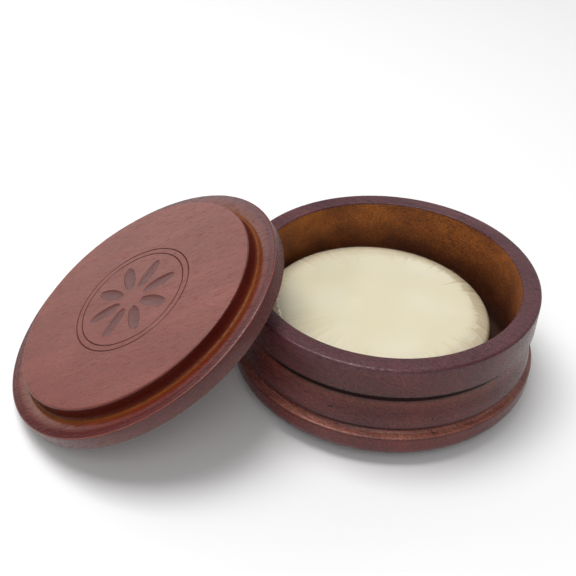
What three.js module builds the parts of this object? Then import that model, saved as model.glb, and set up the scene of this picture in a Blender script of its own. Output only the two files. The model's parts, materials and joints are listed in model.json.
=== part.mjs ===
// A turned wooden shaving bowl with its loose lid leaning on the rim and a puck of shaving soap,
// still in its clear shrink wrap, lying inside. Millimetres, +Z up, the table at Z = 0.
// The origin is the middle of the bowl's foot, on the table.
import * as THREE from 'three';

// --- bowl: one turned block -------------------------------------------------------------------
const BOWL_RADIUS = 51;        // outside of the rim and of the upper band
const BOWL_HEIGHT = 38.4;      // table to rim
const RIM_WIDTH = 6.2;         // wall thickness at the rim
const FLOOR_THICKNESS = 7;
const FLOOR_FILLET = 2.5;      // inside corner between wall and floor
const RIM_OUTER_ROUND = 0.9;
const RIM_INNER_ROUND = 0.5;

const FOOT_RADIUS = 44.6;
const FOOT_HEIGHT = 3.3;       // the foot lifts the bead off the table
const FOOT_CHAMFER = 0.6;

const BEAD_PROUD = 1.5;        // the bead stands out past the rim
const BEAD_HEIGHT = 8.6;
const BEAD_UNDER_ROUND = 4.5;
const BEAD_ARRIS_ROUND = 0.7;
const SLOPE_RISE = 1.7;        // hollow slope from the bead's arris up to the quirk
const QUIRK_HEIGHT = 0.8;      // the dark slot under each band
const QUIRK_DEPTH = 1.7;       // how far the lower slot is cut in past the bowl's radius

const LIP_ROUND = 0.6;         // lower edge of the middle band
const OGEE_DEPTH = 2.3;        // how far the middle band is hollowed at its top
const UPPER_BAND_HEIGHT = 10.8;
const UPPER_BAND_ROUND = 0.5;

// --- lid: one turned disc with a plug that drops into the bowl -----------------------------------
const LID_OVERHANG = 0.5;      // the lid's edge past the bowl's rim
const LID_EDGE_HEIGHT = 6;     // upright band round the lid
const LID_EDGE_CHAMFER = 0.6;
const LID_ARRIS_ROUND = 0.7;
const SHOULDER_WIDTH = 7.6;    // ring between the lid's edge and the raised top
const SHOULDER_CROWN = 0.35;   // the ring swells by this much
const SHOULDER_QUIRK = 0.4;    // fine groove at the foot of the raised top
const SHOULDER_COVE = 1.1;     // width of the small cove that leads down to the groove
const TOP_RISE = 4.1;          // raised top above the edge band
const TOP_ROUND = 0.5;
const PLUG_DEPTH = 4.3;
const PLUG_CLEARANCE = 0.5;    // radial play between plug and bowl
const PLUG_CHAMFER = 0.6;

// --- how the lid leans ------------------------------------------------------------------------
const LEAN_REACH = 32;         // from the lid's axis to the spot where the rim carries the plug
const LEAN_GAP = 0.3;          // air kept between plug and rim
const LEAN_AZIMUTH = 200.4;    // which way the lid leans out, in degrees from +X
const LEAN_SIDE_SHIFT = -3.5;  // the lid's axis passes this far beside the bowl's

// --- soap and its shrink wrap ---------------------------------------------------------------------
const SOAP_PLAY = 4.5;         // radial room between the wrapped soap and the bowl's wall
const SOAP_HEIGHT = 19;
const SOAP_SHOULDER_WIDTH = 7.6;
const SOAP_SHOULDER_DROP = 3.2;
const SOAP_CROWN = 0.5;
const SOAP_EDGE_ROUND = 1.6;
const SOAP_BASE_ROUND = 1.2;
const SOAP_AZIMUTH = 218;      // the wall that the soap has slid against
const WRAP_THICKNESS = 0.3;
const WRAP_AIR = 0.3;          // air between wrap and soap
const WRAP_HEM = 17.9;         // how far the wrap is turned in under the puck
const SEAT_GAP = 0.4;          // air between the wrap and the bowl's wall and floor

const WOOD_SEGMENTS = 64;
const SOAP_SEGMENTS = 40;

// --- sizes that follow from those above ---------------------------------------------------------
const innerRadius = BOWL_RADIUS - RIM_WIDTH;
const lidRadius = BOWL_RADIUS + LID_OVERHANG;
const plugRadius = innerRadius - PLUG_CLEARANCE;
const wrapAllowance = WRAP_THICKNESS + WRAP_AIR;
const soapRadius = innerRadius - SOAP_PLAY - wrapAllowance;

const degrees = THREE.MathUtils.degToRad;
const point = (radius, height) => new THREE.Vector2(radius, height);

/** Points of a circular arc in a profile, both ends included; angles in degrees. */
function arc(centreRadius, centreHeight, round, from, to, steps) {
  const points = [];
  for (let i = 0; i <= steps; i += 1) {
    const angle = degrees(from + ((to - from) * i) / steps);
    points.push(point(
      centreRadius + round * Math.cos(angle),
      centreHeight + round * Math.sin(angle),
    ));
  }
  return points;
}

/** A solid turned about Z from a profile of (radius, height) points. */
function turned(profile, segments) {
  const geometry = new THREE.LatheGeometry(profile, segments);
  geometry.rotateX(Math.PI / 2);
  return geometry;
}

function bowlProfile() {
  const beadRadius = BOWL_RADIUS + BEAD_PROUD;
  const beadTop = FOOT_HEIGHT + BEAD_HEIGHT;
  const slopeTop = beadTop + SLOPE_RISE;
  const lipBottom = slopeTop + QUIRK_HEIGHT;
  const quirkRadius = BOWL_RADIUS - QUIRK_DEPTH;
  const upperBandBottom = BOWL_HEIGHT - UPPER_BAND_HEIGHT;
  const ogeeTop = upperBandBottom - QUIRK_HEIGHT;
  const ogeeBottom = lipBottom + LIP_ROUND;
  const ogeeHeight = ogeeTop - ogeeBottom;
  const ogeeTopRadius = BOWL_RADIUS - OGEE_DEPTH;

  const slope = new THREE.QuadraticBezierCurve(
    point(beadRadius - BEAD_ARRIS_ROUND, beadTop),
    point((beadRadius + quirkRadius) / 2, beadTop),
    point(quirkRadius, slopeTop),
  );
  const ogee = new THREE.CubicBezierCurve(
    point(BOWL_RADIUS, ogeeBottom),
    point(BOWL_RADIUS, ogeeBottom + ogeeHeight / 3),
    point(ogeeTopRadius, ogeeBottom + ogeeHeight / 2),
    point(ogeeTopRadius, ogeeTop),
  );

  return [
    point(0, 0),
    point(FOOT_RADIUS - FOOT_CHAMFER, 0),
    point(FOOT_RADIUS, FOOT_CHAMFER),
    point(FOOT_RADIUS, FOOT_HEIGHT),
    ...arc(beadRadius - BEAD_UNDER_ROUND, FOOT_HEIGHT + BEAD_UNDER_ROUND, BEAD_UNDER_ROUND, -90, 0, 6),
    ...arc(beadRadius - BEAD_ARRIS_ROUND, beadTop - BEAD_ARRIS_ROUND, BEAD_ARRIS_ROUND, 0, 60, 2),
    ...slope.getPoints(3),
    point(quirkRadius, lipBottom),
    ...arc(BOWL_RADIUS - LIP_ROUND, ogeeBottom, LIP_ROUND, -90, -30, 2),
    ...ogee.getPoints(6),
    point(ogeeTopRadius, upperBandBottom),
    ...arc(
      BOWL_RADIUS - UPPER_BAND_ROUND, upperBandBottom + UPPER_BAND_ROUND, UPPER_BAND_ROUND, -90, 0, 2,
    ),
    ...arc(BOWL_RADIUS - RIM_OUTER_ROUND, BOWL_HEIGHT - RIM_OUTER_ROUND, RIM_OUTER_ROUND, 0, 90, 3),
    ...arc(innerRadius + RIM_INNER_ROUND, BOWL_HEIGHT - RIM_INNER_ROUND, RIM_INNER_ROUND, 90, 180, 2),
    ...arc(innerRadius - FLOOR_FILLET, FLOOR_THICKNESS + FLOOR_FILLET, FLOOR_FILLET, 0, -90, 3),
    point(0, FLOOR_THICKNESS),
  ];
}

/** The lid's profile, with height 0 at the ledge that sits on the rim when the lid is on. */
function lidProfile() {
  const topRadius = lidRadius - SHOULDER_WIDTH;
  const quirkRadius = topRadius + SHOULDER_COVE;
  const topHeight = LID_EDGE_HEIGHT + TOP_RISE;
  const crownHeight = LID_EDGE_HEIGHT + SHOULDER_CROWN;

  const shoulder = new THREE.CubicBezierCurve(
    point(lidRadius - LID_ARRIS_ROUND, LID_EDGE_HEIGHT),
    point(lidRadius - SHOULDER_WIDTH / 3, crownHeight),
    point(quirkRadius + SHOULDER_COVE, crownHeight),
    point(quirkRadius, LID_EDGE_HEIGHT - SHOULDER_QUIRK),
  );
  const cove = new THREE.QuadraticBezierCurve(
    point(quirkRadius, LID_EDGE_HEIGHT - SHOULDER_QUIRK),
    point(topRadius, LID_EDGE_HEIGHT - SHOULDER_QUIRK),
    point(topRadius, LID_EDGE_HEIGHT + TOP_RISE / 2),
  );

  return [
    point(0, -PLUG_DEPTH),
    point(plugRadius - PLUG_CHAMFER, -PLUG_DEPTH),
    point(plugRadius, PLUG_CHAMFER - PLUG_DEPTH),
    point(plugRadius, 0),
    point(lidRadius - LID_EDGE_CHAMFER, 0),
    point(lidRadius, LID_EDGE_CHAMFER),
    ...arc(lidRadius - LID_ARRIS_ROUND, LID_EDGE_HEIGHT - LID_ARRIS_ROUND, LID_ARRIS_ROUND, 0, 60, 2),
    ...shoulder.getPoints(5),
    ...cove.getPoints(3).slice(1),
    ...arc(topRadius - TOP_ROUND, topHeight - TOP_ROUND, TOP_ROUND, 0, 90, 2),
    point(0, topHeight),
  ];
}

/**
 * The puck's outside, grown by `grow` all round, from the edge of its flat base up to the axis.
 * Height 0 is the underside of the bare soap.
 */
function puckOutline(grow) {
  const radius = soapRadius + grow;
  const top = SOAP_HEIGHT + grow;
  const baseRound = SOAP_BASE_ROUND + grow;
  const edgeRound = SOAP_EDGE_ROUND + grow;
  const faceRadius = radius - SOAP_SHOULDER_WIDTH;
  const faceHeight = top - SOAP_CROWN;
  const edgeTop = faceHeight - SOAP_SHOULDER_DROP;
  return [
    ...arc(radius - baseRound, baseRound - grow, baseRound, -90, 0, 3),
    ...arc(radius - edgeRound, edgeTop, edgeRound, 0, 60, 3),
    point(faceRadius + SOAP_SHOULDER_WIDTH / 3, faceHeight - SOAP_SHOULDER_DROP / 6),
    point(faceRadius, faceHeight),
    point(0, top),
  ];
}

function soapProfile() {
  return [point(0, 0), ...puckOutline(0)];
}

/** The wrap is a thin skin over the puck, left open by a round hole underneath. */
function wrapProfile() {
  const hole = soapRadius - WRAP_HEM;
  const outside = puckOutline(wrapAllowance);
  const inside = puckOutline(WRAP_AIR).reverse();
  return [
    point(hole, -wrapAllowance),
    ...outside,
    ...inside,
    point(hole, -WRAP_AIR),
    point(hole, -wrapAllowance),
  ];
}

/**
 * How steeply the lid leans: its lowest edge stands on the table while the rim carries the plug's
 * face LEAN_REACH from the lid's axis. `edge` and `drop` place the edge that stands on the table.
 */
function leanAngle(edge, drop) {
  const run = edge + LEAN_REACH;
  const offset = PLUG_DEPTH + LEAN_GAP - drop;
  return Math.asin(BOWL_HEIGHT / Math.hypot(run, offset)) + Math.atan2(offset, run);
}

/** Turns and places the lid's group in its leaning pose. */
function leanLid(group) {
  const lean = Math.min(leanAngle(plugRadius, PLUG_DEPTH), leanAngle(lidRadius, 0));
  const azimuth = degrees(LEAN_AZIMUTH);
  const height = Math.max(
    plugRadius * Math.sin(lean) + PLUG_DEPTH * Math.cos(lean),
    lidRadius * Math.sin(lean),
  );
  const rise = (BOWL_HEIGHT - height) * Math.cos(lean) + PLUG_DEPTH + LEAN_GAP;
  const away = BOWL_RADIUS + rise / Math.sin(lean);
  group.rotation.set(0, lean, azimuth, 'ZYX');
  group.position.set(
    away * Math.cos(azimuth) - LEAN_SIDE_SHIFT * Math.sin(azimuth),
    away * Math.sin(azimuth) + LEAN_SIDE_SHIFT * Math.cos(azimuth),
    height,
  );
}

/** Lays the wrapped soap on the bowl's floor, slid against the wall. */
function laySoap(group) {
  const slide = SOAP_PLAY - SEAT_GAP;
  const azimuth = degrees(SOAP_AZIMUTH);
  group.position.set(
    slide * Math.cos(azimuth),
    slide * Math.sin(azimuth),
    FLOOR_THICKNESS + SEAT_GAP + wrapAllowance,
  );
}

const darkStain = new THREE.MeshStandardMaterial({ color: 0x5a3630, roughness: 0.42, metalness: 0 });
const lidStain = new THREE.MeshStandardMaterial({ color: 0x7a4c46, roughness: 0.38, metalness: 0 });
const creamSoap = new THREE.MeshStandardMaterial({ color: 0xe3dcc4, roughness: 0.5, metalness: 0 });
const clearWrap = new THREE.MeshStandardMaterial({
  color: 0xf6f6f2,
  roughness: 0.1,
  metalness: 0,
  transparent: true,
  opacity: 0.25,
});

function piece(name, geometry, material) {
  const mesh = new THREE.Mesh(geometry, material);
  mesh.name = name;
  return mesh;
}

const shavingBowl = new THREE.Group();
shavingBowl.add(piece('bowl', turned(bowlProfile(), WOOD_SEGMENTS), darkStain));

const leaningLid = new THREE.Group();
leaningLid.add(piece('lid', turned(lidProfile(), WOOD_SEGMENTS), lidStain));
leanLid(leaningLid);
shavingBowl.add(leaningLid);

const wrappedSoap = new THREE.Group();
wrappedSoap.add(piece('soap_puck', turned(soapProfile(), SOAP_SEGMENTS), creamSoap));
wrappedSoap.add(piece('soap_wrap', turned(wrapProfile(), SOAP_SEGMENTS), clearWrap));
laySoap(wrappedSoap);
shavingBowl.add(wrappedSoap);

export default shavingBowl;
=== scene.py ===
import json
import random
from math import acos, atan2, cos, exp, hypot, pi, radians, sin

import bmesh
import bpy
from mathutils import Euler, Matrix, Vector


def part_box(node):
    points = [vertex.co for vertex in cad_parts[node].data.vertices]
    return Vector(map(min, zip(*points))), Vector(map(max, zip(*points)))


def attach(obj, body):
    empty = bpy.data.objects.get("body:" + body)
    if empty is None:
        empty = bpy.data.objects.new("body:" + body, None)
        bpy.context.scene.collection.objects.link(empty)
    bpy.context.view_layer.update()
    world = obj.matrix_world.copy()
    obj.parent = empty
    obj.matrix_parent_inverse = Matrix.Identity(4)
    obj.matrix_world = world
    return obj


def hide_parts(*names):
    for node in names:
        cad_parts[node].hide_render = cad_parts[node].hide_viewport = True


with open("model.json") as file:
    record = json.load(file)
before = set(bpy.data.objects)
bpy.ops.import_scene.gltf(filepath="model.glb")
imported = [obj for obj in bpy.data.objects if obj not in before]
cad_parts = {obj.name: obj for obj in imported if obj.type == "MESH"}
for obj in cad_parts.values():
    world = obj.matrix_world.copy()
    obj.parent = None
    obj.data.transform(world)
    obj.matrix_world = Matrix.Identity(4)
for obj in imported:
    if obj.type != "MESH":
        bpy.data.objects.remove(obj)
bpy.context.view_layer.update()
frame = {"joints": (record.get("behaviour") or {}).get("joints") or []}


# ---- bowl ---------------------------------------------------------------------------------------
# One block of open-grained hardwood, turned on a lathe with two bands over a bead and a low foot.
# Stained dark mahogany outside, wiped thin inside, and finished in satin lacquer.

TURNED_SIDES = 256
NEAR = 1e-5

# Sizes in metres. The cuts are the steps along a rounded or hollowed stretch.
bowl_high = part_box("bowl")[1]
BOWL_HEIGHT = bowl_high[2]
BEAD_RADIUS = bowl_high[0]
BEAD_PROUD = 0.0015
BOWL_RADIUS = BEAD_RADIUS - BEAD_PROUD
RIM_WIDTH = 0.0062
HOLLOW_RADIUS = BOWL_RADIUS - RIM_WIDTH
HOLLOW_FLOOR = 0.007
HOLLOW_FILLET = 0.0025
RIM_OUTER_ROUND = 0.0009
RIM_INNER_ROUND = 0.0005
FOOT_RADIUS = 0.0446
FOOT_HEIGHT = 0.0033
FOOT_CHAMFER = 0.0006
BEAD_TOP = FOOT_HEIGHT + 0.0086
BEAD_UNDER_ROUND = 0.0045
BEAD_ARRIS_ROUND = 0.0007
SLOT_HEIGHT = 0.0008
SLOT_RADIUS = BOWL_RADIUS - 0.0017
SLOPE_TOP = BEAD_TOP + 0.0017
SLOPE_HOLLOW = 0.0005
LIP_BOTTOM = SLOPE_TOP + SLOT_HEIGHT
LIP_ROUND = 0.0006
HOLLOWED_RADIUS = BOWL_RADIUS - 0.0023
BAND_BOTTOM = BOWL_HEIGHT - 0.0108
BAND_ROUND = 0.0005
BAND_CUTS = 14
SLOPE_CUTS = 6
CHAMFER_CUTS = 1
ARRIS_CUTS = 4
RIM_CUTS = 5
FILLET_CUTS = 6
BEAD_CUTS = 12
ROUND_PROFILE = 0.5


def curve_points(controls, cuts):
    """Points along a Bezier curve through (radius, height) control points, without its first one."""
    points = []
    for cut in range(1, cuts + 1):
        level = [Vector(control) for control in controls]
        while len(level) > 1:
            level = [near.lerp(far, cut / cuts) for near, far in zip(level, level[1:])]
        points.append(tuple(level[0]))
    return points


def turn(name, outline, sides=TURNED_SIDES):
    """Turn a solid: a disc is drawn up and down through the circles of a (radius, height) outline."""
    bpy.ops.object.select_all(action="DESELECT")
    radius, height = outline[0]
    bpy.ops.mesh.primitive_circle_add(
        vertices=sides, radius=radius, fill_type="NGON", location=(0, 0, height)
    )
    piece = bpy.context.object
    piece.name = name
    bpy.ops.object.transform_apply(location=True)
    bpy.ops.object.mode_set(mode="EDIT")
    for next_radius, next_height in outline[1:]:
        rise = (0, 0, next_height - height)
        widen = next_radius / radius
        bpy.ops.mesh.extrude_region_move(TRANSFORM_OT_translate={"value": rise})
        bpy.ops.transform.resize(value=(widen, widen, 1), center_override=(0, 0, next_height))
        radius, height = next_radius, next_height
    bpy.ops.mesh.poke()
    bpy.ops.mesh.select_all(action="SELECT")
    bpy.ops.mesh.normals_make_consistent(inside=False)
    bpy.ops.object.mode_set(mode="OBJECT")
    return piece


def round_arris(piece, radius, height, size, cuts=ARRIS_CUTS):
    """Round one circular edge of a turned piece over by this size. One cut makes it a chamfer."""
    bpy.ops.object.select_all(action="DESELECT")
    piece.select_set(True)
    bpy.context.view_layer.objects.active = piece
    bpy.ops.object.mode_set(mode="EDIT")
    bpy.ops.mesh.select_mode(type="EDGE")
    bpy.ops.mesh.select_all(action="DESELECT")
    body = bmesh.from_edit_mesh(piece.data)
    for edge in body.edges:
        on_circle = [
            abs(hypot(vert.co.x, vert.co.y) - radius) < NEAR and abs(vert.co.z - height) < NEAR
            for vert in edge.verts
        ]
        edge.select_set(all(on_circle))
    bmesh.update_edit_mesh(piece.data)
    bpy.ops.mesh.bevel(offset=size, segments=cuts, profile=ROUND_PROFILE)
    bpy.ops.object.mode_set(mode="OBJECT")


def smooth(piece, sharpest):
    """Shade a piece smooth, but keep the edges that turn by more than this angle crisp."""
    bpy.ops.object.select_all(action="DESELECT")
    piece.select_set(True)
    bpy.context.view_layer.objects.active = piece
    bpy.ops.object.shade_smooth_by_angle(angle=sharpest)


CRISP = radians(32)
slope_edge = BEAD_RADIUS - 2 * BEAD_ARRIS_ROUND
band_middle = (LIP_BOTTOM + BAND_BOTTOM - SLOT_HEIGHT) / 2
band_third = LIP_BOTTOM + (BAND_BOTTOM - SLOT_HEIGHT - LIP_BOTTOM) / 3

bowl = turn("bowl_wood", [
    (FOOT_RADIUS, 0),
    (FOOT_RADIUS, FOOT_HEIGHT),
    (BEAD_RADIUS, FOOT_HEIGHT),
    (BEAD_RADIUS, BEAD_TOP),
    (slope_edge, BEAD_TOP),
    *curve_points([
        (slope_edge, BEAD_TOP),
        (SLOT_RADIUS + SLOPE_HOLLOW, BEAD_TOP),
        (SLOT_RADIUS, SLOPE_TOP),
    ], SLOPE_CUTS),
    (SLOT_RADIUS, LIP_BOTTOM),
    (BOWL_RADIUS, LIP_BOTTOM),
    *curve_points([
        (BOWL_RADIUS, LIP_BOTTOM),
        (BOWL_RADIUS, band_third),
        (HOLLOWED_RADIUS, band_middle),
        (HOLLOWED_RADIUS, BAND_BOTTOM - SLOT_HEIGHT),
    ], BAND_CUTS),
    (HOLLOWED_RADIUS, BAND_BOTTOM),
    (BOWL_RADIUS, BAND_BOTTOM),
    (BOWL_RADIUS, BOWL_HEIGHT),
    (HOLLOW_RADIUS, BOWL_HEIGHT),
    (HOLLOW_RADIUS, HOLLOW_FLOOR),
])
round_arris(bowl, FOOT_RADIUS, 0, FOOT_CHAMFER, CHAMFER_CUTS)
round_arris(bowl, BEAD_RADIUS, FOOT_HEIGHT, BEAD_UNDER_ROUND, BEAD_CUTS)
round_arris(bowl, BEAD_RADIUS, BEAD_TOP, BEAD_ARRIS_ROUND)
round_arris(bowl, BOWL_RADIUS, LIP_BOTTOM, LIP_ROUND)
round_arris(bowl, BOWL_RADIUS, BAND_BOTTOM, BAND_ROUND)
round_arris(bowl, BOWL_RADIUS, BOWL_HEIGHT, RIM_OUTER_ROUND, RIM_CUTS)
round_arris(bowl, HOLLOW_RADIUS, BOWL_HEIGHT, RIM_INNER_ROUND)
round_arris(bowl, HOLLOW_RADIUS, HOLLOW_FLOOR, HOLLOW_FILLET, FILLET_CUTS)
smooth(bowl, CRISP)


def add_node(tree, kind, inputs=(), **settings):
    """Add a shader node. Each input takes a plain value or another node's output."""
    made = tree.nodes.new(kind)
    for key, value in settings.items():
        setattr(made, key, value)
    for key, value in dict(inputs).items():
        if isinstance(value, bpy.types.NodeSocket):
            tree.links.new(value, made.inputs[key])
        else:
            made.inputs[key].default_value = value
    return made


def streaks(tree, grain, length, width, detail):
    """Noise drawn out along the grain into streaks of this length and width."""
    drawn = add_node(tree, "ShaderNodeMapping", {
        "Vector": grain, "Scale": (1 / length, 1 / width, 1 / width),
    })
    return add_node(tree, "ShaderNodeTexNoise", {
        "Vector": drawn.outputs["Vector"], "Scale": 1.0, "Detail": detail,
    }).outputs["Fac"]


def between(tree, value, low, high, out_low=0.0, out_high=1.0):
    """Spread the part of a value that lies between low and high over a new range, with soft ends."""
    return add_node(tree, "ShaderNodeMapRange", {
        "Value": value, "From Min": low, "From Max": high, "To Min": out_low, "To Max": out_high,
    }, interpolation_type="SMOOTHSTEP").outputs["Result"]


def sums(tree, operation, first, second):
    """One step of arithmetic on two values."""
    return add_node(tree, "ShaderNodeMath", {0: first, 1: second}, operation=operation).outputs[0]


def tint(tree, share, under, over, how="MIX"):
    """Lay one colour over another by this share."""
    made = tree.nodes.new("ShaderNodeMix")
    made.data_type = "RGBA"
    made.blend_type = how
    sockets = {socket.identifier: socket for socket in made.inputs}
    for identifier, value in (("Factor_Float", share), ("A_Color", under), ("B_Color", over)):
        if isinstance(value, bpy.types.NodeSocket):
            tree.links.new(value, sockets[identifier])
        else:
            sockets[identifier].default_value = value
    return next(socket for socket in made.outputs if socket.identifier == "Result_Color")


def ramp(tree, value, low, high, stops):
    """A colour for each value between low and high, from (value, colour) stops."""
    share = add_node(tree, "ShaderNodeMapRange", {"Value": value, "From Min": low, "From Max": high})
    made = add_node(tree, "ShaderNodeValToRGB", {"Fac": share.outputs["Result"]})
    steps = made.color_ramp.elements
    while len(steps) < len(stops):
        steps.new(1.0)
    for step, (place, colour) in zip(steps, stops):
        step.position = (place - low) / (high - low)
        step.color = (*colour, 1)
    return made.outputs["Color"]


# A span is the part of the noise, or of the stain's lightness, over which a thing fades in.
FIGURE_LENGTH = 0.11
FIGURE_WIDTH = 0.011
FIGURE_DETAIL = 3.0
FIGURE_SPAN = (0.2, 0.8)
FIBRE_LENGTH = 0.016
FIBRE_WIDTH = 0.0009
FIBRE_DETAIL = 3.0
FIBRE_SPAN = (0.3, 0.7)
FIBRE_COLOUR = 0.3
FIBRE_SHEEN = 0.05
FIBRE_RELIEF = 0.4
PORE_LENGTH = 0.0045
PORE_WIDTH = 0.00042
PORE_DETAIL = 1.0
PORE_SPAN = (0.60, 0.72)
PORE_DULLNESS = 0.2
CLOUD_STRETCH = 1.5
CLOUD_DETAIL = 4.0
CLOUD_SPAN = (0.35, 0.7)
GRIT_SIZE = 0.00045
GRIT_STRETCH = 2
GRIT_DETAIL = 3.0
GRIT_SPAN = (0.35, 0.65)
GRIT_RELIEF = 3
DARK_SPAN = (0.05, 0.2)
DARK_DULLNESS = 0.35
RELIEF_STRENGTH = 0.45
RELIEF_DEPTH = 0.00012


def stained_wood(
    name, centre, turned, grain_turn, tones, roughness, shine, painted_light_by_place, cloud_size, cloud, grit
):
    """Open-grained hardwood, stained and lacquered. centre and turned are the piece's own place.

    tones are the deep and the warm colour of the stain and the colour of the pores. The painted-light
    function takes (tree, own) and gives, for each place on the piece, the painted light and shade that
    multiply the stain, how open the pores are and how much smoother the lacquer is. cloud and grit say
    how strong the blotches and the fine specks are.
    """
    deep, warm, pore = tones
    wood = bpy.data.materials.new(name)
    wood.use_nodes = True
    tree = wood.node_tree
    lacquer = tree.nodes["Principled BSDF"]
    lacquer.inputs["Specular IOR Level"].default_value = shine
    places = add_node(tree, "ShaderNodeTexCoord").outputs["Object"]
    own = add_node(tree, "ShaderNodeMapping", {
        "Vector": places, "Location": centre, "Rotation": turned,
    }, vector_type="TEXTURE").outputs["Vector"]
    grain = add_node(tree, "ShaderNodeMapping", {
        "Vector": own, "Rotation": (0, 0, -grain_turn),
    }).outputs["Vector"]
    figure = streaks(tree, grain, FIGURE_LENGTH, FIGURE_WIDTH, FIGURE_DETAIL)
    fibre = streaks(tree, grain, FIBRE_LENGTH, FIBRE_WIDTH, FIBRE_DETAIL)
    pores = between(tree, streaks(tree, grain, PORE_LENGTH, PORE_WIDTH, PORE_DETAIL), *PORE_SPAN)
    clouds = streaks(tree, grain, cloud_size * CLOUD_STRETCH, cloud_size, CLOUD_DETAIL)
    clouds = between(tree, clouds, *CLOUD_SPAN)
    specks = streaks(tree, grain, GRIT_SIZE * GRIT_STRETCH, GRIT_SIZE, GRIT_DETAIL)
    specks = between(tree, specks, *GRIT_SPAN)
    # Painted light and shade for each place, which multiply the stain's colour below.
    lightness, open_pores, polish = painted_light_by_place(tree, own)

    colour = tint(tree, between(tree, figure, *FIGURE_SPAN), deep, warm)
    colour = tint(tree, sums(tree, "MULTIPLY", clouds, cloud), colour, deep)
    colour = tint(tree, between(tree, fibre, *FIBRE_SPAN, 0.0, FIBRE_COLOUR), colour, warm)
    colour = tint(tree, 1.0, colour, lightness, "MULTIPLY")
    colour = tint(tree, 1.0, colour, between(tree, specks, 0, 1, 1 - grit, 1 + grit), "MULTIPLY")
    colour = tint(tree, sums(tree, "MULTIPLY", pores, open_pores), colour, pore)
    tree.links.new(colour, lacquer.inputs["Base Color"])

    sheen = between(tree, fibre, *FIBRE_SPAN, roughness - FIBRE_SHEEN, roughness + FIBRE_SHEEN)
    sheen = sums(tree, "ADD", sheen, sums(tree, "MULTIPLY", pores, PORE_DULLNESS))
    sheen = sums(tree, "ADD", sheen, between(tree, lightness, *DARK_SPAN, DARK_DULLNESS, 0.0))
    tree.links.new(sums(tree, "SUBTRACT", sheen, polish), lacquer.inputs["Roughness"])

    relief = sums(tree, "SUBTRACT", sums(tree, "MULTIPLY", fibre, FIBRE_RELIEF), pores)
    relief = sums(tree, "SUBTRACT", relief, sums(tree, "MULTIPLY", specks, grit * GRIT_RELIEF))
    bump = add_node(tree, "ShaderNodeBump", {
        "Strength": RELIEF_STRENGTH, "Distance": RELIEF_DEPTH, "Height": relief,
    })
    tree.links.new(bump.outputs["Normal"], lacquer.inputs["Normal"])
    return wood


# How far each change of the painted shade, highlight and sheen lies above or below the slot, arris or
# rim that it belongs to.
SHADE_EDGE = 0.0003
SHADE_FADE = 0.0009
SLOPE_SHADE = 0.0004
BAND_SHADE = 0.0029
BAND_GLOW = 0.0042
BAND_CLEAR = 0.0075
LIP_CLEAR = 0.0025
BEAD_SHADE = 0.002
BEAD_BRIGHT = 0.0015
BEAD_DIM = 0.0005
SLOPE_HIGHLIGHT_WIDTH = 0.0003
SLOPE_HIGHLIGHT_FADE = 0.0009
RIM_START = 0.003
RIM_END = 0.0001
# Nearly black painted shade for the slots under the bands.
PAINTED_SLOT_SHADE = (0.16, 0.16, 0.16)
SLOPE_POLISH = 0.12
POLISH_FADE = 0.001
OUTSIDE_POLISH = 0.04
OUTSIDE_PORES = 0.7


def painted_light_outside(tree, own):
    """Outside, light and shade are painted by height: nearly black painted shade in the slots, a tan
    painted highlight on the bead's slope, and painted glow and grey sheen on the bands and rim.
    """
    height = add_node(tree, "ShaderNodeSeparateXYZ", {"Vector": own}).outputs["Z"]
    # A tan painted highlight along the bead's slope.
    painted_slope_highlight = (3.4, 7.8, 5.9)
    lightness = ramp(tree, height, 0, BOWL_HEIGHT, [
        # Painted shade low on the bead, then painted grey sheen on its face, darker just below the
        # arris.
        (FOOT_HEIGHT, (0.3, 0.3, 0.3)),
        (FOOT_HEIGHT + BEAD_SHADE, (1.1, 1.2, 1.3)),
        (BEAD_TOP - BEAD_BRIGHT, (1.3, 1.5, 1.3)),
        (BEAD_TOP - BEAD_DIM, (0.8, 0.8, 0.7)),
        (BEAD_TOP, painted_slope_highlight),
        (BEAD_TOP + SLOPE_HIGHLIGHT_WIDTH, painted_slope_highlight),
        (BEAD_TOP + SLOPE_HIGHLIGHT_FADE, (1.6, 2.2, 1.5)),
        # Nearly black painted shade in the slot under the lip.
        (SLOPE_TOP - SLOPE_SHADE, PAINTED_SLOT_SHADE),
        (LIP_BOTTOM + SHADE_EDGE, PAINTED_SLOT_SHADE),
        # Painted grey sheen over the lower part of the hollowed band.
        (LIP_BOTTOM + SHADE_FADE, (0.9, 1.2, 1.2)),
        (LIP_BOTTOM + LIP_CLEAR, (1.1, 1.8, 1.7)),
        (BAND_BOTTOM - BAND_CLEAR, (1.05, 1.3, 1.2)),
        # A painted warm glow high on the hollowed band.
        (BAND_BOTTOM - BAND_GLOW, (1.4, 1.8, 1.0)),
        # Nearly black painted shade in the slot under the upper band.
        (BAND_BOTTOM - BAND_SHADE, PAINTED_SLOT_SHADE),
        (BAND_BOTTOM + SHADE_EDGE, PAINTED_SLOT_SHADE),
        (BAND_BOTTOM + SHADE_FADE, (0.9, 0.9, 0.8)),
        # Painted grey sheen towards the rim.
        (BOWL_HEIGHT - RIM_START, (1.0, 1.3, 1.3)),
        (BOWL_HEIGHT - RIM_END, (0.9, 1.7, 2.1)),
    ])
    above_slope = SLOPE_TOP + POLISH_FADE
    polish = between(tree, height, BEAD_TOP, above_slope, SLOPE_POLISH, OUTSIDE_POLISH)
    return lightness, OUTSIDE_PORES, polish


INSIDE_PORES = 0.3

# Shares of the bowl's height at which the inside is still shaded, and at which it is bright.
SHADED_SHARE = 0.45
BRIGHT_SHARE = 0.8


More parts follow.
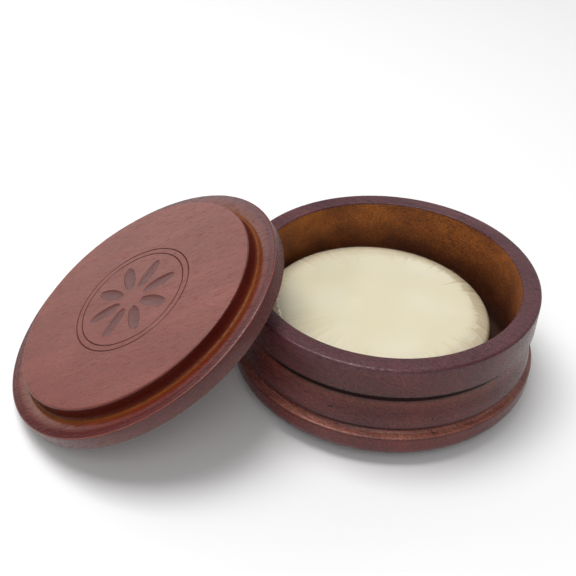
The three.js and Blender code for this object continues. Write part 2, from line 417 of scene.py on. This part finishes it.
def darker_low(tree, own):
    """Inside, painted shade darkens the thin stain towards the floor and painted light brightens it
    near the rim; the lacquer is no smoother anywhere.
    """
    height = add_node(tree, "ShaderNodeSeparateXYZ", {"Vector": own}).outputs["Z"]
    lightness = ramp(tree, height, 0, BOWL_HEIGHT, [
        (HOLLOW_FLOOR, (0.12, 0.1, 0.1)),
        (BOWL_HEIGHT * SHADED_SHARE, (0.25, 0.18, 0.2)),
        (BOWL_HEIGHT * BRIGHT_SHARE, (0.95, 0.9, 0.85)),
        (BOWL_HEIGHT, (1.2, 1.2, 1.0)),
    ])
    return lightness, INSIDE_PORES, 0.0


BOWL_GRAIN_TURN = radians(-28)
SATIN = 0.38
DEAD_FLAT = 0.06
OUTSIDE, INSIDE, IN_SLOT = range(3)
LOW_SLOT_REACH = 0.0006
HIGH_SLOT_REACH = 0.0030
SLOT_SPANS = (
    (SLOPE_TOP - LOW_SLOT_REACH, LIP_BOTTOM),
    (BAND_BOTTOM - HIGH_SLOT_REACH, BAND_BOTTOM),
)

# The slot faces take a duller copy of the stain, dark there from the painted shade.
outer_stain, slot_stain = [
    stained_wood(
        stain_name, (0, 0, 0), (0, 0, 0), BOWL_GRAIN_TURN,
        tones=((0.060, 0.008, 0.010, 1), (0.120, 0.020, 0.018, 1), (0.010, 0.003, 0.003, 1)),
        roughness=0.34, shine=shine, painted_light_by_place=painted_light_outside, cloud_size=0.012, cloud=0.5, grit=0.25,
    )
    for stain_name, shine in (("dark mahogany stain", SATIN), ("dull stain under the painted slot shade", DEAD_FLAT))
]
thin_stain = stained_wood(
    "thin stain inside", (0, 0, 0), (0, 0, 0), BOWL_GRAIN_TURN,
    tones=((0.11, 0.027, 0.004, 1), (0.34, 0.104, 0.013, 1), (0.06, 0.015, 0.003, 1)),
    roughness=0.58, shine=SATIN, painted_light_by_place=darker_low, cloud_size=0.004, cloud=0.45, grit=0.3,
)
for stain in (outer_stain, thin_stain, slot_stain):
    bowl.data.materials.append(stain)
for face in bowl.data.polygons:
    face.material_index = OUTSIDE
    reach = hypot(*face.center[:2])
    if reach < HOLLOW_RADIUS and face.center.z > HOLLOW_FLOOR - NEAR:
        face.material_index = INSIDE
    elif any(low - NEAR < face.center.z < high + NEAR for low, high in SLOT_SPANS):
        face.material_index = IN_SLOT

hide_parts("bowl")
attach(bowl, "bowl")


# ---- lid ----------------------------------------------------------------------------------------
# Turned from the same wood: a raised flat top with a carved rosette, a small cove and a fine groove
# round its foot, a swelling shoulder, and a plug underneath that drops into the bowl.

LID_RADIUS = BOWL_RADIUS + 0.0005
LID_EDGE_HEIGHT = 0.006
LID_EDGE_CHAMFER = 0.0006
LID_ARRIS_ROUND = 0.0007
SHOULDER_WIDTH = 0.0076
SHOULDER_CROWN = 0.00035
GROOVE_DEPTH = 0.0004
COVE_WIDTH = 0.0011
TOP_HEIGHT = LID_EDGE_HEIGHT + 0.0041
TOP_RADIUS = LID_RADIUS - SHOULDER_WIDTH
TOP_ROUND = 0.0005
PLUG_DEPTH = 0.0043
PLUG_RADIUS = HOLLOW_RADIUS - 0.0005
PLUG_CHAMFER = 0.0006
GROOVE_RADIUS = TOP_RADIUS + COVE_WIDTH
SHOULDER_CUTS = 10
COVE_CUTS = 6
CENTRE_RADIUS = 0.0005
LINE_RADII = (0.0218, 0.0196)
LINE_WIDTH = 0.0005
LINE_DEPTH = 0.00035

crown_height = LID_EDGE_HEIGHT + SHOULDER_CROWN
groove_height = LID_EDGE_HEIGHT - GROOVE_DEPTH
shoulder_edge = LID_RADIUS - 2 * LID_ARRIS_ROUND
ring_lines = []
for line_radius in LINE_RADII:
    ring_lines += [
        (line_radius + LINE_WIDTH / 2, TOP_HEIGHT),
        (line_radius, TOP_HEIGHT - LINE_DEPTH),
        (line_radius - LINE_WIDTH / 2, TOP_HEIGHT),
    ]
lid = turn("lid_wood", [
    (PLUG_RADIUS, -PLUG_DEPTH),
    (PLUG_RADIUS, 0),
    (LID_RADIUS, 0),
    (LID_RADIUS, LID_EDGE_HEIGHT),
    (shoulder_edge, LID_EDGE_HEIGHT),
    *curve_points([
        (shoulder_edge, LID_EDGE_HEIGHT),
        (LID_RADIUS - SHOULDER_WIDTH / 3, crown_height),
        (GROOVE_RADIUS + COVE_WIDTH, crown_height),
        (GROOVE_RADIUS, groove_height),
    ], SHOULDER_CUTS),
    *curve_points([
        (GROOVE_RADIUS, groove_height),
        (TOP_RADIUS, groove_height),
        (TOP_RADIUS, (LID_EDGE_HEIGHT + TOP_HEIGHT) / 2),
    ], COVE_CUTS),
    (TOP_RADIUS, TOP_HEIGHT),
    (TOP_RADIUS - 2 * TOP_ROUND, TOP_HEIGHT),
    *ring_lines,
    (CENTRE_RADIUS, TOP_HEIGHT),
])
round_arris(lid, PLUG_RADIUS, -PLUG_DEPTH, PLUG_CHAMFER, CHAMFER_CUTS)
round_arris(lid, LID_RADIUS, 0, LID_EDGE_CHAMFER, CHAMFER_CUTS)
round_arris(lid, LID_RADIUS, LID_EDGE_HEIGHT, LID_ARRIS_ROUND)
round_arris(lid, TOP_RADIUS, TOP_HEIGHT, TOP_ROUND)

PETALS = 8
PETAL_LENGTH = 0.0122
PETAL_WIDTH = 0.0046
PETAL_DEPTH = 0.00045
PETAL_REACH = 0.0105
GOUGE_SIDES = 32
GOUGE_RINGS = 24
UNIT_RADIUS = 0.5

bpy.ops.object.select_all(action="DESELECT")
for petal in range(PETALS):
    petal_turn = 2 * pi * petal / PETALS
    bpy.ops.mesh.primitive_uv_sphere_add(
        segments=GOUGE_SIDES, ring_count=GOUGE_RINGS, radius=UNIT_RADIUS,
        location=(PETAL_REACH * cos(petal_turn), PETAL_REACH * sin(petal_turn), TOP_HEIGHT),
        rotation=(0, 0, petal_turn),
        scale=(PETAL_LENGTH, PETAL_WIDTH, 2 * PETAL_DEPTH),
    )
    gouge = bpy.context.object
    cut = lid.modifiers.new("petal", "BOOLEAN")
    cut.operation = "DIFFERENCE"
    cut.solver = "EXACT"
    cut.object = gouge
    bpy.context.view_layer.objects.active = lid
    bpy.ops.object.modifier_apply(modifier=cut.name)
    bpy.data.objects.remove(gouge)

lid_lift = next(joint for joint in frame["joints"] if joint["name"] == "lid_lift")
lid_axis = Vector(lid_lift["axis"])
lid_turn = Euler((0, acos(lid_axis.z), atan2(lid_axis.y, lid_axis.x)))


def middle(low, high):
    """The middle of a box between these two corners."""
    return (Vector(low) + Vector(high)) / 2


def lay_in_place(piece, node, turned):
    """Turn a piece built on the origin, and move it until its box is centred on the node's."""
    turning = turned.to_matrix()
    corners = [turning @ vertex.co for vertex in piece.data.vertices]
    low = [min(corner[side] for corner in corners) for side in range(3)]
    high = [max(corner[side] for corner in corners) for side in range(3)]
    place = middle(*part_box(node)) - middle(low, high)
    bpy.ops.object.select_all(action="DESELECT")
    piece.select_set(True)
    bpy.context.view_layer.objects.active = piece
    piece.rotation_euler = turned
    piece.location = place
    bpy.ops.object.transform_apply(location=True, rotation=True, scale=True)
    return place


lid_place = lay_in_place(lid, "lid", lid_turn)
smooth(lid, CRISP)

# How far each change of the painted light and shade lies from the step's top, the groove or the
# shoulder's arris.
STEP_START = 0.001
STEP_TOP_FADE = 0.0005
STEP_WALL_FADE = 0.0006
GROOVE_FAR = 0.0016
GROOVE_NEAR = 0.0006
SHOULDER_START = 0.0036
ARRIS_FAR = 0.0014
ARRIS_NEAR = 0.0003
EDGE_START = 0.0012
CARVED_SPAN = (TOP_HEIGHT - 0.00012, TOP_HEIGHT - 0.00002)
TOP_MIDDLE_SPAN = (TOP_RADIUS - 0.003, TOP_RADIUS - 0.002)
SHOULDER_SPAN = (TOP_RADIUS - 0.001, TOP_RADIUS + 0.001)
CARVED_TINT = (0.62, 0.68, 0.8, 1)
TOP_PORES = 0.15
SHOULDER_PORES = 0.3
SHOULDER_POLISH = 0.1


def painted_light_on_lid_profile(tree, own):
    """On the lid, light and shade are painted along the profile over the stain: painted shade down the
    step, a shoulder darkened partly by painted shade, a painted highlight on the groove and the arris,
    and painted grey sheen on the edge.

    Radius less height grows all the way down from the flat top, over the step, the groove and the
    shoulder, to the foot of the edge, so it says how far down that profile a place lies.
    """
    flat = add_node(
        tree, "ShaderNodeVectorMath", {0: own, 1: (1, 1, 0)}, operation="MULTIPLY"
    ).outputs[0]
    radius = add_node(tree, "ShaderNodeVectorMath", {0: flat}, operation="LENGTH").outputs["Value"]
    height = add_node(tree, "ShaderNodeSeparateXYZ", {"Vector": own}).outputs["Z"]
    step_top = TOP_RADIUS - TOP_HEIGHT
    groove = GROOVE_RADIUS - groove_height
    arris = LID_RADIUS - LID_EDGE_HEIGHT
    along = sums(tree, "SUBTRACT", radius, height)
    profile = ramp(tree, along, step_top - STEP_START, LID_RADIUS, [
        (step_top - STEP_TOP_FADE, (1.0, 1.0, 1.0)),
        # Painted shade down the step wall.
        (step_top, (0.7, 0.6, 0.6)),
        (step_top + STEP_WALL_FADE, (0.40, 0.18, 0.18)),
        (groove - GROOVE_FAR, (0.45, 0.25, 0.18)),
        # Painted light rising through the cove to a painted highlight on the groove.
        (groove - GROOVE_NEAR, (0.6, 0.55, 0.2)),
        (groove, (1.3, 1.6, 0.6)),
        (groove + GROOVE_NEAR, (0.85, 0.8, 0.3)),
        (groove + GROOVE_FAR, (0.75, 0.42, 0.2)),
        # A shoulder darkened partly by painted shade.
        (groove + SHOULDER_START, (0.5, 0.18, 0.16)),
        (arris - ARRIS_FAR, (0.42, 0.2, 0.26)),
        (arris - ARRIS_NEAR, (0.5, 0.3, 0.36)),
        # A painted highlight on the arris, then painted grey sheen down the edge.
        (arris, (1.5, 1.9, 1.9)),
        (arris + ARRIS_NEAR, (0.5, 0.5, 0.65)),
        (arris + EDGE_START, (0.5, 0.55, 0.75)),
        (LID_RADIUS, (0.7, 1.1, 1.3)),
    ])
    carved = sums(
        tree, "MULTIPLY", between(tree, height, *CARVED_SPAN, 1.0, 0.0),
        between(tree, radius, *TOP_MIDDLE_SPAN, 1.0, 0.0),
    )
    lightness = tint(tree, carved, profile, CARVED_TINT)
    on_shoulder = between(tree, radius, *SHOULDER_SPAN)
    open_pores = sums(tree, "ADD", sums(tree, "MULTIPLY", on_shoulder, SHOULDER_PORES), TOP_PORES)
    return lightness, open_pores, sums(tree, "MULTIPLY", on_shoulder, SHOULDER_POLISH)


LID_GRAIN_TURN = radians(-12)
NEARLY_FLAT = 0.08
LID_SHINES = (("mahogany stain", SATIN), ("mahogany stain in the cove", NEARLY_FLAT))
for stain_name, shine in LID_SHINES:
    lid.data.materials.append(stained_wood(
        stain_name, lid_place, lid_turn, LID_GRAIN_TURN,
        tones=((0.15, 0.032, 0.024, 1), (0.21, 0.056, 0.038, 1), (0.04, 0.010, 0.008, 1)),
        roughness=0.36, shine=shine, painted_light_by_place=painted_light_on_lid_profile, cloud_size=0.012, cloud=0.6, grit=0.1,
    ))

# The faces of the cove take the second stain, which hardly shines.
to_own = lid_turn.to_matrix().transposed()
for face in lid.data.polygons:
    own = to_own @ (face.center - lid_place)
    in_cove = TOP_RADIUS - NEAR < hypot(own.x, own.y) < GROOVE_RADIUS + COVE_WIDTH / 3
    face.material_index = int(in_cove and groove_height - NEAR < own.z < TOP_HEIGHT - TOP_ROUND)

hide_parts("lid")
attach(lid, "lid")


# ---- soap ---------------------------------------------------------------------------------------
# A round puck of cream shaving soap, cast in a mould, with a sloped shoulder round its slightly
# crowned face. It lies loose on the bowl's floor, pushed off centre.

puck_low, puck_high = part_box("soap_puck")
PUCK_RADIUS = (puck_high[0] - puck_low[0]) / 2
PUCK_HEIGHT = puck_high[2] - puck_low[2]
SHOULDER_DROP = 0.0032
PUCK_CROWN = 0.0005
PUCK_EDGE_ROUND = 0.0016
PUCK_BASE_ROUND = 0.0012
PUCK_BASE_CUTS = 5
PUCK_EDGE_CUTS = 6
PUCK_SHOULDER_CUTS = 8
PUCK_FACE_CUTS = 12
FACE_RADIUS = PUCK_RADIUS - 0.0076
FACE_HEIGHT = PUCK_HEIGHT - PUCK_CROWN
FACE_START = FACE_RADIUS + 0.0024
FACE_START_DROP = 0.0007
FACE_EASE = 0.0008
FACE_EASE_DROP = 0.00003

puck = turn("soap_puck_body", [
    (PUCK_RADIUS, 0),
    (PUCK_RADIUS, FACE_HEIGHT - SHOULDER_DROP),
    *curve_points([
        (FACE_START, FACE_HEIGHT - FACE_START_DROP),
        (FACE_RADIUS + FACE_EASE, FACE_HEIGHT - FACE_EASE_DROP),
        (FACE_RADIUS - FACE_EASE, FACE_HEIGHT),
    ], PUCK_SHOULDER_CUTS),
    *curve_points([(FACE_RADIUS, FACE_HEIGHT), (CENTRE_RADIUS, PUCK_HEIGHT)], PUCK_FACE_CUTS),
])
round_arris(puck, PUCK_RADIUS, 0, PUCK_BASE_ROUND, PUCK_BASE_CUTS)
round_arris(puck, PUCK_RADIUS, FACE_HEIGHT - SHOULDER_DROP, PUCK_EDGE_ROUND, PUCK_EDGE_CUTS)
lay_in_place(puck, "soap_puck", Euler((0, 0, 0)))
smooth(puck, CRISP)


CREAM = (0.70, 0.635, 0.44, 1)
PALE_CREAM = (0.73, 0.675, 0.50, 1)
SOAP_CLOUD = 0.02
SOAP_CLOUD_DETAIL = 4.0
SOAP_GRAIN = 0.0012
SOAP_GRAIN_DETAIL = 2.0
SOAP_COLOUR_SPAN = (0.35, 0.65)
SOAP_SHEEN_SPAN = (0.3, 0.7)
SOAP_ROUGHNESS = (0.40, 0.5)
SOAP_CLOUD_RELIEF = 0.3
SOAP_GRAIN_RELIEF = 0.1
SOAP_RELIEF_STRENGTH = 0.3
SOAP_RELIEF_DEPTH = 0.0004
LIGHT_LET_IN = 0.25
LIGHT_REACH = (1.0, 0.7, 0.35)
LIGHT_DEPTH = 0.003


def cast_soap(name):
    """Smooth cream soap that lets a little light into its surface."""
    soap = bpy.data.materials.new(name)
    soap.use_nodes = True
    tree = soap.node_tree
    body = tree.nodes["Principled BSDF"]
    places = add_node(tree, "ShaderNodeTexCoord").outputs["Object"]
    clouds = streaks(tree, places, SOAP_CLOUD, SOAP_CLOUD, SOAP_CLOUD_DETAIL)
    grains = streaks(tree, places, SOAP_GRAIN, SOAP_GRAIN, SOAP_GRAIN_DETAIL)
    colour = tint(tree, between(tree, clouds, *SOAP_COLOUR_SPAN), CREAM, PALE_CREAM)
    tree.links.new(colour, body.inputs["Base Color"])
    sheen = between(tree, clouds, *SOAP_SHEEN_SPAN, *SOAP_ROUGHNESS)
    tree.links.new(sheen, body.inputs["Roughness"])
    body.inputs["Subsurface Weight"].default_value = LIGHT_LET_IN
    body.inputs["Subsurface Radius"].default_value = LIGHT_REACH
    body.inputs["Subsurface Scale"].default_value = LIGHT_DEPTH
    clouds = sums(tree, "MULTIPLY", clouds, SOAP_CLOUD_RELIEF)
    grains = sums(tree, "MULTIPLY", grains, SOAP_GRAIN_RELIEF)
    bump = add_node(tree, "ShaderNodeBump", {
        "Strength": SOAP_RELIEF_STRENGTH, "Distance": SOAP_RELIEF_DEPTH,
        "Height": sums(tree, "ADD", clouds, grains),
    })
    tree.links.new(bump.outputs["Normal"], body.inputs["Normal"])
    return soap


puck.data.materials.append(cast_soap("cream soap"))
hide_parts("soap_puck")
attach(puck, "soap")


# ---- shrink wrap --------------------------------------------------------------------------------
# Clear film shrunk tight over the puck, gathered into small pleats round the edge, and drawn back
# under it to leave a round hole.

FILM_THICKNESS = 0.00008
FILM_AIR = 0.0003
HEM_RADIUS = PUCK_RADIUS - 0.0179
WRAP_SIDES = 448
UNDER_CUTS = 5
WALL_CUTS = 6
WRAP_SHOULDER_CUTS = 16
WRAP_FACE_CUTS = 16
WALL_END_DROP = 0.002
SHOULDER_LIFT = 0.0006
SHOULDER_EASE = 0.003

skin_radius = PUCK_RADIUS + FILM_AIR
skin_face = FACE_HEIGHT + FILM_AIR
skin_shoulder = skin_face - SHOULDER_DROP
wall_end = (skin_radius, skin_shoulder - WALL_END_DROP)
wrap = turn("soap_wrap_film", [
    (HEM_RADIUS, -FILM_AIR),
    (PUCK_RADIUS - PUCK_BASE_ROUND, -FILM_AIR),
    *curve_points([
        (PUCK_RADIUS - PUCK_BASE_ROUND, -FILM_AIR),
        (skin_radius, -FILM_AIR),
        (skin_radius, PUCK_BASE_ROUND),
    ], UNDER_CUTS),
    *curve_points([(skin_radius, PUCK_BASE_ROUND), wall_end], WALL_CUTS),
    *curve_points([
        wall_end,
        (skin_radius, skin_shoulder + SHOULDER_LIFT),
        (FACE_RADIUS + SHOULDER_EASE, skin_face),
        (FACE_RADIUS, skin_face),
    ], WRAP_SHOULDER_CUTS),
    *curve_points([(FACE_RADIUS, skin_face), (CENTRE_RADIUS, PUCK_HEIGHT + FILM_AIR)], WRAP_FACE_CUTS),
], WRAP_SIDES)

# The film is drawn back under the puck, so the disc that closes the hem is taken away.
bpy.ops.object.mode_set(mode="EDIT")
bpy.ops.mesh.select_mode(type="FACE")
bpy.ops.mesh.select_all(action="DESELECT")
skin = bmesh.from_edit_mesh(wrap.data)
for face in skin.faces:
    face.select_set(len(face.verts) == WRAP_SIDES)
bmesh.update_edit_mesh(wrap.data)
bpy.ops.mesh.delete(type="FACE")
bpy.ops.object.mode_set(mode="OBJECT")

# Each pleat is a low ridge that runs in from the edge of the face, leans a little and dies away.
PLEATS = 120
PLEAT_HEIGHT = 0.00024
PLEAT_WIDTH = 0.0006
PLEAT_LENGTH = 0.013
PLEAT_REACH = 3.0
PLEAT_START = 4
PLEAT_SEED = 7
HIGHS = (0.4, 1)
LENGTHS = (0.3, 1)
SLANTS = (-0.04, 0.04)
BELOW_SHOULDER = 0.003
INSIDE_FACE = 0.010

shrink = random.Random(PLEAT_SEED)
on_shoulder = [
    vertex for vertex in wrap.data.vertices
    if vertex.co.z > skin_shoulder - BELOW_SHOULDER
    and hypot(*vertex.co[:2]) > FACE_RADIUS - INSIDE_FACE
]
for _ in range(PLEATS):
    at = shrink.uniform(-pi, pi)
    high = shrink.uniform(*HIGHS)
    long = shrink.uniform(*LENGTHS)
    slant = shrink.uniform(*SLANTS)
    for vertex in on_shoulder:
        inward = (skin_radius - hypot(*vertex.co[:2])) / (PLEAT_LENGTH * long)
        off = (atan2(vertex.co.y, vertex.co.x) - at - slant * inward + pi) % (2 * pi) - pi
        across = off * skin_radius / PLEAT_WIDTH
        if abs(across) < PLEAT_REACH:
            fade = min(1.0, inward * PLEAT_START) * exp(-inward ** 2)
            vertex.co.z += PLEAT_HEIGHT * high * fade * exp(-across ** 2)

CREASED = radians(60)
OUTWARDS = 1
film = wrap.modifiers.new("film", "SOLIDIFY")
film.thickness = FILM_THICKNESS
film.offset = OUTWARDS
bpy.ops.object.modifier_apply(modifier=film.name)
lay_in_place(wrap, "soap_puck", Euler((0, 0, 0)))
smooth(wrap, CREASED)

CLEAR = (1, 1, 1, 1)
FACING_BLEND = 0.5
FACING_POWER = 3.0
SHINE_AT_EDGE = 0.5
SHINE_ANYWHERE = 0.05
FILM_ROUGHNESS = 0.12


def clear_film(name):
    """Clear glossy film: light passes straight through, and it shines more the flatter it is seen."""
    clear = bpy.data.materials.new(name)
    clear.use_nodes = True
    tree = clear.node_tree
    tree.nodes.remove(tree.nodes["Principled BSDF"])
    facing = add_node(tree, "ShaderNodeLayerWeight", {"Blend": FACING_BLEND}).outputs["Facing"]
    shine = sums(tree, "MULTIPLY", sums(tree, "POWER", facing, FACING_POWER), SHINE_AT_EDGE)
    shine = sums(tree, "ADD", shine, SHINE_ANYWHERE)
    through = add_node(tree, "ShaderNodeBsdfTransparent", {"Color": CLEAR})
    gloss = add_node(tree, "ShaderNodeBsdfAnisotropic", {"Color": CLEAR, "Roughness": FILM_ROUGHNESS})
    skin = add_node(tree, "ShaderNodeMixShader", {
        0: shine, 1: through.outputs[0], 2: gloss.outputs[0],
    })
    tree.links.new(skin.outputs[0], tree.nodes["Material Output"].inputs["Surface"])
    return clear


wrap.data.materials.append(clear_film("clear shrink film"))
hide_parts("soap_wrap")
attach(wrap, "soap")


# ---- table, light and camera --------------------------------------------------------------------
# A matt white table top in a white studio, with one soft box overhead as a window and three weaker
# ones round it. The camera stands in front and looks down into the bowl, tipped over a little.

TABLE_SIZE = 6.0
TABLE_WHITE = (0.9, 0.9, 0.9, 1)
TABLE_ROUGHNESS = 0.7
STUDIO_WHITE = (1, 1, 1, 1)
STUDIO_STRENGTH = 0.3

bpy.ops.object.select_all(action="DESELECT")
bpy.ops.mesh.primitive_plane_add(size=TABLE_SIZE, location=(0, 0, 0))
table = bpy.context.object
table.name = "table_top"
table_paint = bpy.data.materials.new("pale table")
table_paint.use_nodes = True
paint = table_paint.node_tree.nodes["Principled BSDF"]
paint.inputs["Base Color"].default_value = TABLE_WHITE
paint.inputs["Roughness"].default_value = TABLE_ROUGHNESS
table.data.materials.append(table_paint)

scene = bpy.context.scene
scene.view_settings.view_transform = "Standard"
world = bpy.data.worlds.new("white studio")
scene.world = world
world.use_nodes = True
studio = world.node_tree.nodes["Background"]
studio.inputs["Color"].default_value = STUDIO_WHITE
studio.inputs["Strength"].default_value = STUDIO_STRENGTH


def soft_light(name, direction, distance, size, radiance):
    """A square soft box that looks at the bowl from this direction."""
    bpy.ops.object.light_add(type="AREA", location=Vector(direction).normalized() * distance)
    lamp = bpy.context.object
    lamp.name = name
    lamp.rotation_euler = lamp.location.to_track_quat("Z", "Y").to_euler()
    lamp.data.shape = "SQUARE"
    lamp.data.size = size
    lamp.data.energy = radiance * pi * size * size


soft_light("window", (-0.25, 0.02, 0.97), distance=1.0, size=0.5, radiance=9.0)
soft_light("front box", (0.05, -0.65, 0.65), distance=1.0, size=0.6, radiance=2.0)
soft_light("back box", (0.35, 0.80, 0.50), distance=1.2, size=1.0, radiance=0.4)
soft_light("side box", (-0.68, 0.59, 0.44), distance=1.2, size=0.8, radiance=1.4)

EYE_DISTANCE = 0.328
EYE_ELEVATION = radians(40.2)
EYE_ROLL = radians(2.1)
EYE_LENS = 55.9
SENSOR_WIDTH = 36.0
AIM = Vector((-0.0353, 0.0087, 0.020))

eye = Vector((0, -EYE_DISTANCE * cos(EYE_ELEVATION), EYE_DISTANCE * sin(EYE_ELEVATION)))
bpy.ops.object.camera_add(location=eye, rotation=(AIM - eye).to_track_quat("-Z", "Y").to_euler())
camera = bpy.context.object
camera.rotation_euler.rotate_axis("Z", EYE_ROLL)
camera.data.lens = EYE_LENS
camera.data.sensor_width = SENSOR_WIDTH
scene.camera = camera
